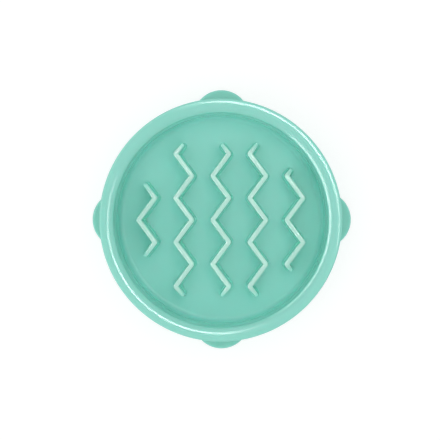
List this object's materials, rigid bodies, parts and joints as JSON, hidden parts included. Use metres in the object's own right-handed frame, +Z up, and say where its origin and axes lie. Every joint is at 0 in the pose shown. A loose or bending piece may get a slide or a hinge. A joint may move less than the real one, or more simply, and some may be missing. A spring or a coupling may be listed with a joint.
{
  "type": "slow feeder bowl",
  "caption": "Shallow round pet bowl with a rolled rim, upright zigzag ridges across its floor, a plain outer skirt and rounded tabs at its foot with rubber pads underneath.",
  "frame": {"origin": "middle of the base, on the plane that the feet stand on", "axes": "+Z up, +Y towards the back (the top of the picture), +X to the right"},
  "size_m": [0.1864, 0.1864, 0.038],
  "materials": {
    "bowl_plastic": "satin gloss, moulded in one pale mint green",
    "foot_rubber": null
  },
  "bodies": {
    "root": {"bowl": "bowl_plastic", "foot_right": "foot_rubber", "foot_back": "foot_rubber", "foot_left": "foot_rubber", "foot_front": "foot_rubber"}
  },
  "joints": []
}
